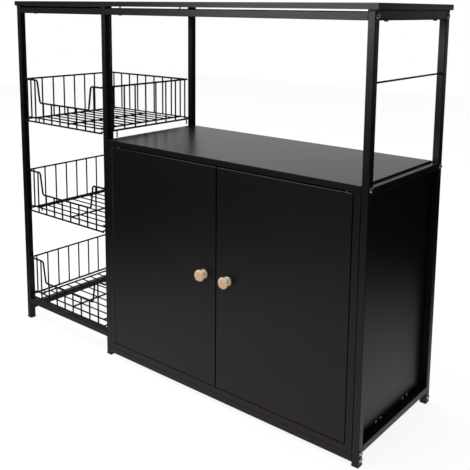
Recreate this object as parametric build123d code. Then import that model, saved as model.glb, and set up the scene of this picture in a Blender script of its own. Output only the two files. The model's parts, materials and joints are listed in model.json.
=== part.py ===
"""Kitchen storage cabinet: a square-tube steel frame with three pull-out wire
baskets on the left and a two-door cupboard with an open shelf bay on the right.

Millimetres, +Z up, front towards -Y. The origin is on the floor, at the centre
of the whole cabinet's box.
"""
import math
import os

from build123d import *

# Steel frame
TUBE = 16.0  # outside of the square tube
TUBE_WALL = 1.2
TUBE_CORNER = 1.2  # flat that stands for the tube's small corner round
FRAME_WIDTH = 1100.0  # over the outer posts
FRAME_DEPTH = 324.0  # over the front and back posts
FRAME_HEIGHT = 894.0  # floor to the top of the posts
BASKET_BAY = 334.0  # clear width between the left and middle posts
SIDE_RAIL_BASE = 28.0  # floor to the underside of the lower side rails
BASKET_RAIL_BASE = 47.0  # floor to the underside of the basket bay's lower rails
CABINET_RAIL_BASE = 9.0  # floor to the underside of the cupboard's lower rails
FOOT_HEIGHT = 6.0
FOOT_BEVEL = 1.6
FOOT_REACH = 6.0  # reach of a foot into its post
CAP_REACH = 3.5  # reach of a spacer into the top of its post
PLUG_DEPTH = 16.0  # reach of a threaded plug into a rail
PLUG_PLAY = 0.1  # gap round a plug in its tube

# Bolts through the posts
BOLT_DIAMETER = 6.0
BOLT_HEAD = 11.0
BOLT_HEAD_HEIGHT = 3.0
BOLT_HEAD_SIDES = 8
FASTENER_SIDES = 6  # flat sides of shanks, small heads and their holes
BOLT_GRIP = 12.0  # thread past the post
BOLT_PLAY = 0.2  # radial gap in a post's hole
THREAD_PLAY = 0.05  # radial gap in a threaded hole

# Hanging rod on the right side
ROD_DIAMETER = 4.0
ROD_DROP = 130.0  # top of the posts down to the rod
ROD_IN_POST = 8.0
ROD_PLAY = 0.1

# Boards
TOP_SPACER = 4.0  # gap between the rails and the top board
TOP_THICKNESS = 12.0
TOP_OVERHANG_SIDE = 6.0
TOP_OVERHANG_FRONT = 2.0
TOP_OVERHANG_BACK = 4.0
BOARD_EDGE = 1.0  # small round along the upper board edges
WORKTOP_HEIGHT = 572.0
WORKTOP_THICKNESS = 14.0
WORKTOP_RAIL_DROP = 4.0  # worktop rails lie this far below its surface
FLOOR_THICKNESS = 12.0
SIDE_PANEL = 15.0
BACK_PANEL = 3.0
BACK_GROOVE = 5.0  # depth of the side panels' grooves for the back panel
GROOVE_PLAY = 0.1
PANEL_TUCK = 8.0  # reach of a side panel past the front of the back posts
BOARD_PLAY = 0.5  # gap between a board and the steel beside it

# Screws up through the top side rails into the top board
TOP_SCREW = 4.0
TOP_SCREW_HEAD = 8.0
TOP_SCREW_HEAD_HEIGHT = 2.4
TOP_SCREW_BITE = 8.0
TOP_SCREW_INSET = 40.0  # from the post to the screw
SCREW_PLAY = 0.1

# Angle brackets between the cupboard floor and the side panels
BRACKET_LEG = 40.0
BRACKET_WIDTH = 40.0
BRACKET_THICKNESS = 2.0
BRACKET_FRONT = 108.0  # front of the panel to the middle of the front bracket
BRACKET_BACK = 95.0  # back of the panel to the middle of the back bracket
PANEL_SCREW = 4.0
PANEL_SCREW_HEAD = 7.0
PANEL_SCREW_HEAD_HEIGHT = 1.4
PANEL_SCREW_PITCH = 20.0
PANEL_SCREW_HEIGHT = 12.0  # above the cupboard floor
FLOOR_SCREW_BITE = 9.0  # thread in the cupboard floor

# Doors
DOOR_THICKNESS = 15.0
DOOR_SIDE_GAP = 2.4
DOOR_TOP_GAP = 3.5
DOOR_BOTTOM_GAP = 4.0
DOOR_MEETING_GAP = 3.0
DOOR_EDGE = 0.8  # small round along the door's front edges
PIVOT_INSET = 16.0  # door's outer edge to the pivot axis
PIN_DIAMETER = 5.0
PIN_IN_DOOR = 22.0
PIN_IN_BUSH = 7.0
PIN_PLAY = 0.05  # running gap in the bush
PIN_SEAT_PLAY = 0.02  # gap in the door
BUSH_DIAMETER = 9.0
BUSH_DEPTH = 8.0
BUSH_PLAY = 0.05
CATCH_LENGTH = 34.0
CATCH_DEPTH = 14.0
CATCH_HEIGHT = 13.0
CATCH_FROM_SPLIT = 28.0
CATCH_GAP = 0.3
STRIKE_LENGTH = 26.0
STRIKE_HEIGHT = 12.0
STRIKE_THICKNESS = 1.5

# Turned wooden knobs
KNOB_DIAMETER = 30.0
KNOB_REACH = 24.0
KNOB_BASE = 24.0
KNOB_WAIST = 14.0
KNOB_FLAT = 22.0  # flat middle of the head
KNOB_WAIST_AT = 7.5  # door to the narrowest place
KNOB_FACE = 9.0  # thickness of the head
KNOB_EDGE = 4.0  # depth of the head's eased front edge
KNOB_SIDES = 24  # flat sides that stand for the turned round
KNOB_FROM_SPLIT = 35.0
KNOB_HEIGHT = 303.0
KNOB_SCREW = 4.0
KNOB_SCREW_HEAD = 8.0
KNOB_SCREW_HEAD_HEIGHT = 2.2
KNOB_SCREW_BITE = 15.0

# Wire baskets
BASKET_NAMES = ("lower_basket", "middle_basket", "upper_basket")
BASKET_PITCH = 256.0
LOWEST_RUNNER = 76.5  # floor to the top of the lowest runners
RUNNER_DIAMETER = 4.0
RUNNER_SETBACK = 3.0  # post face to the runner's end
STOP_PIN = 3.6  # pins that hang from the runners
FRONT_PIN_DROP = 18.0
BACK_PIN_DROP = 14.0
FRONT_PIN_AT = 48.0  # front of the posts to the front pin
BACK_PIN_AT = 19.0  # back of the posts to the back pin
RUN_GAP = 0.3  # carrying wires above the runners
GUIDE_PLAY = 0.8  # side walls' lowest wires to the runners they slide between
BASKET_SIDE_PLAY = 1.0  # ends of the carrying wires to the posts
BASKET_SETBACK = 0.0  # post face to the basket's front wire
BASKET_DEPTH = 308.0  # middle of the front rim to the middle of the back rim
BASKET_WALL = 110.0  # runner to the middle of the rim
SCOOP_RIM = 49.0  # runner to the middle of the lowered front rim
SCOOP_SHOULDER = 48.0  # corner of the rim to the start of the scoop
SCOOP_SLOPE = 10.0  # sideways run of the scoop's slanted ends
SCOOP_BEND = 7.0  # bend radius of the rim wire
BEND_RUNS = 2  # straight runs that stand for a bend
RIM_WIRE = 4.2
UPRIGHT_WIRE = 3.6
FLOOR_WIRE = 4.0  # edge wires of a floor, and the two that carry the basket
MESH_WIRE = 3.0
BEARER_WIRE = 4.0
FLOOR_INSET = 24.0  # side wall to the edge of the floor grid
FLOOR_SETBACK = 15.2  # front wall to the first floor wire
FLOOR_GAP_COUNT = 10
ACROSS_PITCH = 35.2  # uprights of the front and back walls
ALONG_PITCH = 37.4  # uprights of the side walls
# First upright of each wall, from the wall's left or front end
FIRST_UPRIGHT = {"front": 11.0, "back": 14.4, "left": 19.4, "right": 38.9}
LAST_UPRIGHT = 5.0  # least room after a wall's last upright
BEARER_SIDES = 8  # flat sides of the bearers, runners and lowest wall wires
RIM_SIDES = 6  # flat sides of the rims
WIRE_SIDES = 6  # flat sides of the uprights and pins
FLOOR_SIDES = 4  # flat sides of the floor wires
WELD_GAP = 0.05  # gap between basket panels at their welds

# Places that follow from the sizes above
FRONT = (KNOB_REACH - FRAME_DEPTH - TOP_OVERHANG_BACK) / 2  # front of the posts
BACK = FRONT + FRAME_DEPTH  # back of the posts
BACK_POST = BACK - TUBE  # front of the back posts
POST_X = {
    "left": -FRAME_WIDTH / 2,
    "middle": -FRAME_WIDTH / 2 + TUBE + BASKET_BAY,
    "right": FRAME_WIDTH / 2 - TUBE,
}
POST_Y = {"front": FRONT, "back": BACK_POST}
TOP_RAIL_BASE = FRAME_HEIGHT - TUBE
ROD_HEIGHT = FRAME_HEIGHT - ROD_DROP
WORKTOP_BASE = WORKTOP_HEIGHT - WORKTOP_THICKNESS
WORKTOP_RAIL_BASE = WORKTOP_HEIGHT - WORKTOP_RAIL_DROP - TUBE
FLOOR_BASE = CABINET_RAIL_BASE + TUBE
FLOOR_TOP = FLOOR_BASE + FLOOR_THICKNESS
BAY_LEFT = POST_X["middle"] + TUBE  # right bay, between the posts
BAY_RIGHT = POST_X["right"]
PANEL_LEFT = BAY_LEFT + BOARD_PLAY  # outer faces of the side panels
PANEL_RIGHT = BAY_RIGHT - BOARD_PLAY
BACK_FACE = BACK_POST - BOARD_PLAY - BACK_PANEL  # inner face of the back panel
DOORS_LEFT = PANEL_LEFT + SIDE_PANEL + DOOR_SIDE_GAP
DOORS_RIGHT = PANEL_RIGHT - SIDE_PANEL - DOOR_SIDE_GAP
DOOR_SPLIT = (DOORS_LEFT + DOORS_RIGHT) / 2
DOOR_BASE = FLOOR_TOP + DOOR_BOTTOM_GAP
DOOR_TOP = WORKTOP_BASE - DOOR_TOP_GAP
PIVOT_X = {"left": DOORS_LEFT + PIVOT_INSET, "right": DOORS_RIGHT - PIVOT_INSET}
PIVOT_Y = FRONT + DOOR_THICKNESS / 2
TUBE_BORE = TUBE - 2 * TUBE_WALL
BRACKET_Y = (FRONT + BRACKET_FRONT, BACK - BRACKET_BACK)
WALL_INSET = WELD_GAP + RUNNER_DIAMETER + GUIDE_PLAY + UPRIGHT_WIRE / 2
RIM_LEFT = POST_X["left"] + TUBE + WALL_INSET
RIM_RIGHT = POST_X["middle"] - WALL_INSET
RIM_FRONT = FRONT + BASKET_SETBACK + RIM_WIRE / 2
RIM_BACK = RIM_FRONT + BASKET_DEPTH


def box(x0, x1, y0, y1, z0, z1):
    """A block between two corners."""
    block = Box(x1 - x0, y1 - y0, z1 - z0)
    return Pos((x0 + x1) / 2, (y0 + y1) / 2, (z0 + z1) / 2) * block


def rod(diameter, length):
    """A round bar from the origin along +Z."""
    return extrude(Circle(diameter / 2), length)


def wire_section(diameter, sides):
    """Section of a flat-sided wire, measured across its flats, a flat towards +X."""
    return Rot(0, 0, 180 / sides) * RegularPolygon(diameter / 2, sides, major_radius=False)


def bar(diameter, sides, length):
    """A straight flat-sided wire from the origin along +Z."""
    return extrude(wire_section(diameter, sides), length)


def along_x(shape):
    return Rot(0, 90, 0) * shape


def along_y(shape):
    return Rot(-90, 0, 0) * shape


def tube(length):
    """Square tube with broken corners, from the origin along +Z."""
    outside = chamfer(Rectangle(TUBE, TUBE).vertices(), TUBE_CORNER)
    return extrude(outside - Rectangle(TUBE_BORE, TUBE_BORE), length)


def rail_along_x(x0, x1, y, base):
    """Rail between two posts of one face; y is its front, base its underside."""
    return Pos(x0, y + TUBE / 2, base + TUBE / 2) * along_x(tube(x1 - x0))


def rail_along_y(x, base):
    """Side rail welded between a front and a back post; x is its left face."""
    y0 = FRONT + TUBE
    return Pos(x + TUBE / 2, y0, base + TUBE / 2) * along_y(tube(BACK_POST - y0))


# Heights of the bolts in each post. The cupboard bay's rails and boards are
# bolted at both ends, the basket bay's rails at the left and welded at the middle.
TOP_BOLT = TOP_RAIL_BASE + TUBE / 2
WORKTOP_BOLT = WORKTOP_BASE + WORKTOP_THICKNESS / 2
WORKTOP_RAIL_BOLT = WORKTOP_RAIL_BASE + TUBE / 2
FLOOR_BOLT = FLOOR_BASE + FLOOR_THICKNESS / 2
CABINET_BOLT = CABINET_RAIL_BASE + TUBE / 2
BASKET_BOLT = BASKET_RAIL_BASE + TUBE / 2
FRONT_BOLTS = (TOP_BOLT, WORKTOP_BOLT, FLOOR_BOLT, CABINET_BOLT)
BACK_BOLTS = (TOP_BOLT, WORKTOP_RAIL_BOLT, CABINET_BOLT)
BOLT_HEIGHTS = {
    ("left", "front"): (TOP_BOLT, BASKET_BOLT),
    ("left", "back"): (TOP_BOLT, BASKET_BOLT),
    ("middle", "front"): FRONT_BOLTS,
    ("middle", "back"): BACK_BOLTS,
    ("right", "front"): FRONT_BOLTS,
    ("right", "back"): BACK_BOLTS,
}


def bolt_frame(side, row, height):
    """Where a bolt's head seats, with +Z along its thread."""
    y = POST_Y[row] + TUBE / 2
    if side == "right":
        return Pos(POST_X[side] + TUBE, y, height) * Rot(0, -90, 0)
    return Pos(POST_X[side], y, height) * Rot(0, 90, 0)


def bolt_holes(side, row):
    hole = bar(BOLT_DIAMETER + 2 * BOLT_PLAY, FASTENER_SIDES, TUBE)
    return [bolt_frame(side, row, z) * hole for z in BOLT_HEIGHTS[side, row]]


def rod_hole(row):
    """Hole in a right post's inner wall for the hanging rod."""
    y = FRONT + TUBE - ROD_IN_POST if row == "front" else BACK_POST
    hole = bar(ROD_DIAMETER + 2 * ROD_PLAY, FASTENER_SIDES, ROD_IN_POST)
    return Pos(POST_X["right"] + TUBE / 2, y, ROD_HEIGHT) * along_y(hole)


def post(side, row):
    centre = Pos(POST_X[side] + TUBE / 2, POST_Y[row] + TUBE / 2, FOOT_HEIGHT)
    body = centre * tube(FRAME_HEIGHT - FOOT_HEIGHT) - bolt_holes(side, row)
    if side == "right":
        body -= rod_hole(row)
    return body


def bolt():
    """Low-headed bolt: the head's seat is at the origin, the thread along +Z."""
    head = Pos(0, 0, -BOLT_HEAD_HEIGHT) * bar(BOLT_HEAD, BOLT_HEAD_SIDES, BOLT_HEAD_HEIGHT)
    return head + bar(BOLT_DIAMETER, FASTENER_SIDES, TUBE + BOLT_GRIP)


def frame_bolts():
    one = bolt()
    return [
        bolt_frame(side, row, z) * one
        for (side, row), heights in BOLT_HEIGHTS.items()
        for z in heights
    ]


def rail_plugs():
    """Threaded plugs in the rail ends that the bolts pull on; boards need none."""
    size = TUBE_BORE - 2 * PLUG_PLAY
    plug = Pos(0, 0, PLUG_DEPTH / 2) * Box(size, size, PLUG_DEPTH)
    plug -= bar(BOLT_DIAMETER + 2 * THREAD_PLAY, FASTENER_SIDES, PLUG_DEPTH)
    into_rail = Pos(0, 0, TUBE)
    return [
        bolt_frame(side, row, z) * into_rail * plug
        for (side, row), heights in BOLT_HEIGHTS.items()
        for z in heights
        if not (row == "front" and z in (WORKTOP_BOLT, FLOOR_BOLT))
    ]


def foot(side, row):
    """Plastic foot: a bevelled pad with a short plug up the post."""
    pad = Pos(0, 0, FOOT_HEIGHT / 2) * Box(TUBE, TUBE, FOOT_HEIGHT)
    pad = chamfer(pad.edges().group_by(Axis.Z)[0], FOOT_BEVEL)
    size = TUBE_BORE - 2 * PLUG_PLAY
    plug = Pos(0, 0, FOOT_HEIGHT + FOOT_REACH / 2) * Box(size, size, FOOT_REACH)
    return Pos(POST_X[side] + TUBE / 2, POST_Y[row] + TUBE / 2, 0) * (pad + plug)


def top_spacer(side, row):
    """Cap on a post's top that holds the top board clear of the rails."""
    pad = Pos(0, 0, TOP_SPACER / 2) * Box(TUBE, TUBE, TOP_SPACER)
    size = TUBE_BORE - 2 * PLUG_PLAY
    plug = Pos(0, 0, -CAP_REACH / 2) * Box(size, size, CAP_REACH)
    return Pos(POST_X[side] + TUBE / 2, POST_Y[row] + TUBE / 2, FRAME_HEIGHT) * (pad + plug)


def hanging_rod():
    length = FRAME_DEPTH - 2 * TUBE + 2 * ROD_IN_POST
    y = FRONT + TUBE - ROD_IN_POST
    one = along_y(bar(ROD_DIAMETER, FASTENER_SIDES, length))
    return Pos(POST_X["right"] + TUBE / 2, y, ROD_HEIGHT) * one


def screw(diameter, length, head, head_height):
    """Screw with its head's seat at the origin and its thread along +Z."""
    cap = Pos(0, 0, -head_height) * bar(head, FASTENER_SIDES, head_height)
    return cap + bar(diameter, FASTENER_SIDES, length)


def top_screw_places():
    ys = (FRONT + TUBE + TOP_SCREW_INSET, BACK_POST - TOP_SCREW_INSET)
    return [(x + TUBE / 2, y) for x in POST_X.values() for y in ys]


def top_screws():
    length = TUBE + TOP_SPACER + TOP_SCREW_BITE
    one = screw(TOP_SCREW, length, TOP_SCREW_HEAD, TOP_SCREW_HEAD_HEIGHT)
    return [Pos(x, y, TOP_RAIL_BASE) * one for x, y in top_screw_places()]


def top_screw_holes():
    """Clearance through the rails and blind into the top board."""
    length = TUBE + TOP_SPACER + TOP_SCREW_BITE + SCREW_PLAY
    hole = bar(TOP_SCREW + 2 * SCREW_PLAY, FASTENER_SIDES, length)
    return [Pos(x, y, TOP_RAIL_BASE) * hole for x, y in top_screw_places()]


def top_board():
    base = FRAME_HEIGHT + TOP_SPACER
    board = box(
        -FRAME_WIDTH / 2 - TOP_OVERHANG_SIDE, FRAME_WIDTH / 2 + TOP_OVERHANG_SIDE,
        FRONT - TOP_OVERHANG_FRONT, BACK + TOP_OVERHANG_BACK,
        base, base + TOP_THICKNESS,
    )
    board = chamfer(board.edges().group_by(Axis.Z)[-1], BOARD_EDGE)
    return board - top_screw_holes()


def board_bolt_holes(height):
    """Bolt holes into the two front ends of a board of the right bay."""
    hole = bar(BOLT_DIAMETER + 2 * THREAD_PLAY, FASTENER_SIDES, TUBE + BOLT_GRIP + BOARD_PLAY)
    return [bolt_frame(side, "front", height) * hole for side in ("middle", "right")]


def bush_pockets():
    """Pockets for the pivot bushes above and below each door."""
    pocket = bar(BUSH_DIAMETER + 2 * BUSH_PLAY, FASTENER_SIDES, BUSH_DEPTH)
    upper = [Pos(x, PIVOT_Y, WORKTOP_BASE) * pocket for x in PIVOT_X.values()]
    lower = [Pos(x, PIVOT_Y, FLOOR_TOP - BUSH_DEPTH) * pocket for x in PIVOT_X.values()]
    return upper, lower


def worktop():
    board = box(
        PANEL_LEFT, PANEL_RIGHT, FRONT, BACK_POST - BOARD_PLAY, WORKTOP_BASE, WORKTOP_HEIGHT
    )
    board = chamfer(board.edges().group_by(Axis.Z)[-1], BOARD_EDGE)
    return board - board_bolt_holes(WORKTOP_BOLT) - bush_pockets()[0]


def floor_screw_places():
    """Where a screw goes down through the flat leg of each angle bracket."""
    reach = (BRACKET_THICKNESS + BRACKET_LEG) / 2
    inner = {"left": PANEL_LEFT + SIDE_PANEL + reach, "right": PANEL_RIGHT - SIDE_PANEL - reach}
    return [(inner[side], y) for side in inner for y in BRACKET_Y]


def floor_screw_holes():
    length = BRACKET_THICKNESS + FLOOR_SCREW_BITE + SCREW_PLAY
    hole = bar(PANEL_SCREW + 2 * SCREW_PLAY, FASTENER_SIDES, length)
    top = FLOOR_TOP + BRACKET_THICKNESS
    return [Pos(x, y, top) * Rot(180, 0, 0) * hole for x, y in floor_screw_places()]


def floor_board():
    """Cupboard floor, lying on the front and back lower rails."""
    board = box(PANEL_LEFT, PANEL_RIGHT, FRONT, BACK, FLOOR_BASE, FLOOR_TOP)
    return board - board_bolt_holes(FLOOR_BOLT) - bush_pockets()[1] - floor_screw_holes()


def panel_screw_frames(side):
    """Where the screws through one side panel seat, with +Z into the cupboard."""
    face, turn = (PANEL_LEFT, 90) if side == "left" else (PANEL_RIGHT, -90)
    z = FLOOR_TOP + PANEL_SCREW_HEIGHT
    return [
        Pos(face, y + step * PANEL_SCREW_PITCH / 2, z) * Rot(0, turn, 0)
        for y in BRACKET_Y
        for step in (-1, 1)
    ]


def panel_screw_holes(side):
    hole = bar(PANEL_SCREW + 2 * SCREW_PLAY, FASTENER_SIDES, SIDE_PANEL + BRACKET_THICKNESS)
    return [place * hole for place in panel_screw_frames(side)]


def side_panel(side):
    """Panel that is tucked beside its back post and notched under the worktop's back rail."""
    x0 = PANEL_LEFT if side == "left" else PANEL_RIGHT - SIDE_PANEL
    x1 = x0 + SIDE_PANEL
    y1 = BACK_POST + PANEL_TUCK
    panel = box(x0, x1, FRONT, y1, FLOOR_TOP, WORKTOP_BASE)
    notch = box(
        x0, x1, BACK_POST - BOARD_PLAY, y1, WORKTOP_RAIL_BASE - BOARD_PLAY, WORKTOP_BASE
    )
    groove_x = (x1 - BACK_GROOVE, x1) if side == "left" else (x0, x0 + BACK_GROOVE)
    groove = box(
        *groove_x, BACK_FACE - GROOVE_PLAY, BACK_FACE + BACK_PANEL + GROOVE_PLAY, FLOOR_TOP, WORKTOP_BASE
    )
    return panel - notch - groove - panel_screw_holes(side)


def back_panel():
    """Thin panel that slides down the grooves of the side panels."""
    reach = SIDE_PANEL - BACK_GROOVE + GROOVE_PLAY
    y1 = BACK_FACE + BACK_PANEL
    return box(PANEL_LEFT + reach, PANEL_RIGHT - reach, BACK_FACE, y1, FLOOR_TOP, WORKTOP_BASE)


def bracket(side, y):
    """Angle bracket in the corner between a side panel and the cupboard floor."""
    y0, y1 = y - BRACKET_WIDTH / 2, y + BRACKET_WIDTH / 2
    face = PANEL_LEFT + SIDE_PANEL if side == "left" else PANEL_RIGHT - SIDE_PANEL
    out = 1 if side == "left" else -1
    upright = sorted((face, face + out * BRACKET_THICKNESS))
    flat = sorted((face, face + out * BRACKET_LEG))
    shape = box(*upright, y0, y1, FLOOR_TOP, FLOOR_TOP + BRACKET_LEG)
    shape += box(*flat, y0, y1, FLOOR_TOP, FLOOR_TOP + BRACKET_THICKNESS)
    return shape - panel_screw_holes(side) - floor_screw_holes()


def brackets():
    return [bracket(side, y) for side in ("left", "right") for y in BRACKET_Y]


def panel_screws():
    length = SIDE_PANEL + BRACKET_THICKNESS
    side_one = screw(PANEL_SCREW, length, PANEL_SCREW_HEAD, PANEL_SCREW_HEAD_HEIGHT)
    floor_one = screw(
        PANEL_SCREW, BRACKET_THICKNESS + FLOOR_SCREW_BITE, PANEL_SCREW_HEAD, PANEL_SCREW_HEAD_HEIGHT
    )
    top = FLOOR_TOP + BRACKET_THICKNESS
    sides = [place * side_one for side in ("left", "right") for place in panel_screw_frames(side)]
    floors = [Pos(x, y, top) * Rot(180, 0, 0) * floor_one for x, y in floor_screw_places()]
    return sides + floors


def pivot_bushes():
    """Bushes that the door pins turn in: upper ones face down, lower ones up."""
    bore = bar(PIN_DIAMETER + 2 * PIN_PLAY, FASTENER_SIDES, BUSH_DEPTH)
    ring = bar(BUSH_DIAMETER, FASTENER_SIDES, BUSH_DEPTH) - bore
    bases = (WORKTOP_BASE, FLOOR_TOP - BUSH_DEPTH)
    return [Pos(x, PIVOT_Y, z) * ring for x in PIVOT_X.values() for z in bases]


def pin_spans():
    """Lower end and length of the upper and the lower pin of a door."""
    length = PIN_IN_DOOR + PIN_IN_BUSH
    return (
        (DOOR_TOP - PIN_IN_DOOR, length + DOOR_TOP_GAP),
        (FLOOR_TOP - PIN_IN_BUSH, length + DOOR_BOTTOM_GAP),
    )


def door_pins(side):
    return [Pos(PIVOT_X[side], PIVOT_Y, z) * rod(PIN_DIAMETER, length) for z, length in pin_spans()]


def pin_seats(side):
    """Holes in a door that grip its pins on their flats."""
    size = PIN_DIAMETER + 2 * PIN_SEAT_PLAY
    place = [Pos(PIVOT_X[side], PIVOT_Y, z) for z, _ in pin_spans()]
    return [at * bar(size, FASTENER_SIDES, length) for at, (_, length) in zip(place, pin_spans())]


def away_from_split(side, distance):
    return DOOR_SPLIT + (distance if side == "right" else -distance)


def knob_frame(side):
    """Foot of a knob on its door's face, with +Z out of the face."""
    x = away_from_split(side, KNOB_FROM_SPLIT)
    return Pos(x, FRONT, KNOB_HEIGHT) * Rot(90, 0, 0)


def door(side):
    meeting = away_from_split(side, DOOR_MEETING_GAP / 2)
    outer = DOORS_LEFT if side == "left" else DOORS_RIGHT
    x0, x1 = sorted((meeting, outer))
    leaf = box(x0, x1, FRONT, FRONT + DOOR_THICKNESS, DOOR_BASE, DOOR_TOP)
    leaf = chamfer(leaf.edges().group_by(Axis.Y)[0], DOOR_EDGE)
    hole = bar(KNOB_SCREW + 2 * SCREW_PLAY, FASTENER_SIDES, DOOR_THICKNESS)
    return leaf - pin_seats(side) - knob_frame(side) * Pos(0, 0, -DOOR_THICKNESS) * hole


def flat_cone(diameter, end_diameter, height):
    """A piece of a flat-sided cone from the origin along +Z."""
    slope = math.degrees(math.atan2((diameter - end_diameter) / 2, height))
    return extrude(wire_section(diameter, KNOB_SIDES), height, taper=slope)


def knob(side):
    """Turned knob: a spreading foot, a waist and a broad head with eased edges."""
    turned = (
        (KNOB_BASE, 0),
        (KNOB_WAIST, KNOB_WAIST_AT),
        (KNOB_DIAMETER, KNOB_REACH - KNOB_FACE),
        (KNOB_DIAMETER, KNOB_REACH - KNOB_EDGE),
        (KNOB_FLAT, KNOB_REACH),
    )
    body = Part()
    for (d0, z0), (d1, z1) in zip(turned, turned[1:]):
        body += Pos(0, 0, z0) * flat_cone(d0, d1, z1 - z0)
    body -= bar(KNOB_SCREW + 2 * THREAD_PLAY, FASTENER_SIDES, KNOB_SCREW_BITE)
    return knob_frame(side) * body


def knob_screw(side):
    """Screw from the back of the door into the knob."""
    one = screw(KNOB_SCREW, DOOR_THICKNESS + KNOB_SCREW_BITE, KNOB_SCREW_HEAD, KNOB_SCREW_HEAD_HEIGHT)
    return knob_frame(side) * Pos(0, 0, -DOOR_THICKNESS) * one


def strike_plate(side):
    """Steel plate on the back of a door that its magnet catch holds."""
    x = away_from_split(side, CATCH_FROM_SPLIT)
    y0 = FRONT + DOOR_THICKNESS
    z0 = WORKTOP_BASE - CATCH_HEIGHT / 2 - STRIKE_HEIGHT / 2 - DOOR_TOP_GAP
    half = STRIKE_LENGTH / 2
    return box(x - half, x + half, y0, y0 + STRIKE_THICKNESS, z0, z0 + STRIKE_HEIGHT)


def door_catches():
    """Magnet catches under the worktop, one behind each door."""
    y0 = FRONT + DOOR_THICKNESS + STRIKE_THICKNESS + CATCH_GAP
    half = CATCH_LENGTH / 2
    places = [away_from_split(side, CATCH_FROM_SPLIT) for side in ("left", "right")]
    return [
        box(x - half, x + half, y0, y0 + CATCH_DEPTH, WORKTOP_BASE - CATCH_HEIGHT, WORKTOP_BASE)
        for x in places
    ]


# The baskets are drawn for the lowest runners and lifted into place.
FLOOR_Z = LOWEST_RUNNER + RUN_GAP + FLOOR_WIRE / 2  # middle of the floor wires
STAND_Z = FLOOR_Z + FLOOR_WIRE / 2 + WELD_GAP  # foot of the back wall's uprights
SIDE_Z = FLOOR_Z - FLOOR_WIRE / 2 - WELD_GAP - UPRIGHT_WIRE / 2  # lowest wires of the side walls
BASE_Z = SIDE_Z - UPRIGHT_WIRE / 2 - WELD_GAP - FLOOR_WIRE / 2  # lowest wire of the front wall
RIM_Z = LOWEST_RUNNER + BASKET_WALL
FLOOR_FRONT = RIM_FRONT + FLOOR_SETBACK
FLOOR_STEP = (RIM_BACK - FLOOR_FRONT) / FLOOR_GAP_COUNT
RUNNER_X = {
    "left": POST_X["left"] + TUBE + WELD_GAP + RUNNER_DIAMETER / 2,
    "right": POST_X["middle"] - WELD_GAP - RUNNER_DIAMETER / 2,
}


def wire_x(diameter, sides, x0, x1, y, z):
    return Pos(x0, y, z) * along_x(bar(diameter, sides, x1 - x0))


def wire_y(diameter, sides, y0, y1, x, z):
    """A wire from front to back with flats to the left and right."""
    return Pos(x, y0, z) * along_y(bar(diameter, sides, y1 - y0))


def wire_z(diameter, sides, z0, z1, x, y):
    """An upright wire with flats to the front and back."""
    return Pos(x, y, z0) * Rot(0, 0, 90) * bar(diameter, sides, z1 - z0)


def floor_wire_y(index):
    return FLOOR_FRONT + index * FLOOR_STEP


def basket_floor():
    """Welded floor grid with a bearer below; its first and last wires lie on the runners."""
    x0, x1 = RIM_LEFT + FLOOR_INSET, RIM_RIGHT - FLOOR_INSET
    y0, y1 = floor_wire_y(0), floor_wire_y(FLOOR_GAP_COUNT)
    grid = [wire_y(FLOOR_WIRE, FLOOR_SIDES, y0, y1, x, FLOOR_Z) for x in (x0, x1)]
    for index in range(1, FLOOR_GAP_COUNT):
        grid.append(wire_x(MESH_WIRE, FLOOR_SIDES, x0, x1, floor_wire_y(index), FLOOR_Z))
    left, right = POST_X["left"] + TUBE + BASKET_SIDE_PLAY, POST_X["middle"] - BASKET_SIDE_PLAY
    grid += [wire_x(FLOOR_WIRE, FLOOR_SIDES, left, right, y, FLOOR_Z) for y in (y0, y1)]
    return [grid[0].fuse(*grid[1:]), floor_bearer(y0 + FLOOR_WIRE, y1 - FLOOR_WIRE)]


def floor_bearer(y0, y1):
    """Wire from front to back below the middle of the floor grid."""
    z = FLOOR_Z - MESH_WIRE / 2 - WELD_GAP - BEARER_WIRE / 2
    return wire_y(BEARER_WIRE, BEARER_SIDES, y0, y1, (RIM_LEFT + RIM_RIGHT) / 2, z)


def upright_places(wall, start, end, pitch):
    """Places of a wall's uprights between its two ends."""
    first = start + FIRST_UPRIGHT[wall]
    count = int((end - LAST_UPRIGHT - first) / pitch) + 1
    return [first + pitch * i for i in range(count)]


def basket_side(side):
    """Side wall: uprights between the rim and a lowest wire that slides beside the runner."""
    x = RIM_LEFT if side == "left" else RIM_RIGHT
    rim = wire_y(RIM_WIRE, RIM_SIDES, RIM_FRONT - RIM_WIRE / 2, RIM_BACK + RIM_WIRE / 2, x, RIM_Z)
    y0, y1 = RIM_FRONT - UPRIGHT_WIRE / 2, RIM_BACK + FLOOR_WIRE / 2
    lowest = wire_y(UPRIGHT_WIRE, BEARER_SIDES, y0, y1, x, SIDE_Z)
    ys = upright_places(side, RIM_FRONT, RIM_BACK, ALONG_PITCH)
    return rim.fuse(lowest, *[wire_z(UPRIGHT_WIRE, WIRE_SIDES, SIDE_Z, RIM_Z, x, y) for y in ys])


def rim_ends():
    """Ends of the front and back rims, just inside the side rims."""
    inset = RIM_WIRE / 2 + WELD_GAP
    return RIM_LEFT + inset, RIM_RIGHT - inset


def basket_back():
    rim = wire_x(RIM_WIRE, RIM_SIDES, *rim_ends(), RIM_BACK, RIM_Z)
    xs = upright_places("back", RIM_LEFT, RIM_RIGHT, ACROSS_PITCH)
    return rim.fuse(*[wire_z(UPRIGHT_WIRE, WIRE_SIDES, STAND_Z, RIM_Z, x, RIM_BACK) for x in xs])


def scoop_points():
    """Middle line of the front rim, seen from the front as (x, z)."""
    x0, x1 = rim_ends()
    low = LOWEST_RUNNER + SCOOP_RIM
    bends = (SCOOP_SHOULDER, RIM_Z), (SCOOP_SHOULDER + SCOOP_SLOPE, low)
    left = [(RIM_LEFT + inset, z) for inset, z in bends]
    right = [(RIM_RIGHT - inset, z) for inset, z in reversed(bends)]
    return [(x0, RIM_Z), *left, *right, (x1, RIM_Z)]


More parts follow.
